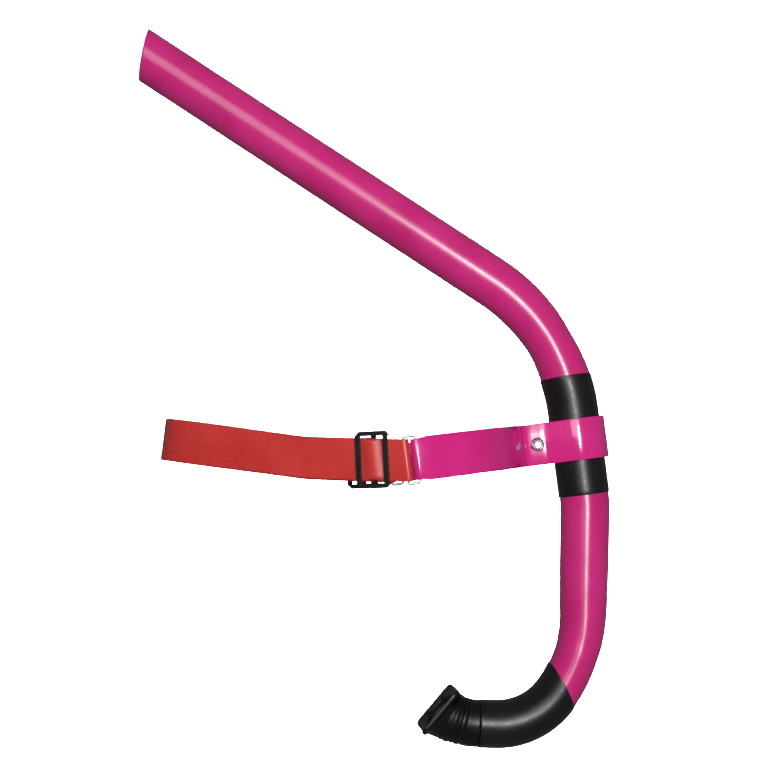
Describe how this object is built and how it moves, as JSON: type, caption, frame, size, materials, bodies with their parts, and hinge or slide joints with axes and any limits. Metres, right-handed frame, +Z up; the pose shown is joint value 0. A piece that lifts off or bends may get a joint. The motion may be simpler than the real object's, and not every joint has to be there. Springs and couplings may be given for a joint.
{
  "type": "centre-mount swimming snorkel",
  "caption": "Centre-mount swimming snorkel: bent breathing tube with mouthpiece, clamped forehead bracket, wire loops and an adjustable rubber head strap.",
  "frame": {"origin": "the middle of the head bracket's forehead arc, on its inner face at mid-height, where it lies against the swimmer's forehead", "axes": "+X the way the swimmer looks, +Y the swimmer's left, +Z up with the face level; the tube lies in the XZ plane"},
  "size_m": [0.2294, 0.1252, 0.3491],
  "materials": {
    "tube_plastic": "satin gloss, moulded through in pink",
    "black_sleeve": "satin",
    "mouthpiece_rubber": "smooth satin",
    "bracket_plastic": "high gloss",
    "screw_steel": "polished",
    "wire_steel": "satin",
    "strap_rubber": "smooth, slightly translucent",
    "buckle_plastic": "satin"
  },
  "bodies": {
    "bracket": {"head_bracket": "bracket_plastic", "nut_washer": "screw_steel", "clamp_nut": "screw_steel"},
    "tube": {"snorkel_tube": "tube_plastic", "grip_sleeve": "black_sleeve", "elbow_sleeve": "black_sleeve"},
    "mouthpiece": {"mouthpiece": "mouthpiece_rubber"},
    "screw": {"clamp_screw": "screw_steel"},
    "right_loop": {"right_wire_loop": "wire_steel"},
    "left_loop": {"left_wire_loop": "wire_steel"},
    "strap": {"head_strap": "strap_rubber"},
    "right_buckle": {"right_buckle": "buckle_plastic"},
    "left_buckle": {"left_buckle": "buckle_plastic"}
  },
  "joints": [
    {"name": "tube_slide", "type": "slide", "parent": "bracket", "child": "tube", "axis": [-0.1271, 0, 0.9919], "range_m": [-0.004, 0.016]},
    {"name": "mouthpiece_turn", "type": "hinge", "parent": "tube", "child": "mouthpiece", "pos_m": [-0.01957, 0, -0.13327], "axis": [-0.9993, 0, 0.0384], "range_deg": [-30, 30]},
    {"name": "screw_turn", "type": "hinge", "parent": "bracket", "child": "screw", "pos_m": [0.00803, 0, 0.00103], "axis": [0, -1, 0], "continuous": true},
    {"name": "right_loop_swing", "type": "hinge", "parent": "bracket", "child": "right_loop", "pos_m": [-0.05353, -0.06019, -0.00686], "axis": [-0.1271, 0, 0.9919], "range_deg": [-25, 25]},
    {"name": "left_loop_swing", "type": "hinge", "parent": "bracket", "child": "left_loop", "pos_m": [-0.05353, 0.06019, -0.00686], "axis": [-0.1271, 0, 0.9919], "range_deg": [-25, 25]},
    {"name": "strap_turn", "type": "hinge", "parent": "right_loop", "child": "strap", "pos_m": [-0.05878, -0.06019, -0.00753], "axis": [-0.1271, 0, 0.9919], "range_deg": [-25, 25]},
    {"name": "right_buckle_slide", "type": "slide", "parent": "strap", "child": "right_buckle", "axis": [-0.9283, 0.3703, 0.0335], "range_m": [-0.0015, 0.014]},
    {"name": "left_buckle_slide", "type": "slide", "parent": "strap", "child": "left_buckle", "axis": [-0.9283, -0.3703, 0.0335], "range_m": [-0.0015, 0.014]}
  ],
  "couplings": [
    {"joint": "left_loop_swing", "follows": "right_loop_swing", "ratio": 1},
    {"joint": "strap_turn", "follows": "right_loop_swing", "ratio": -1}
  ]
}
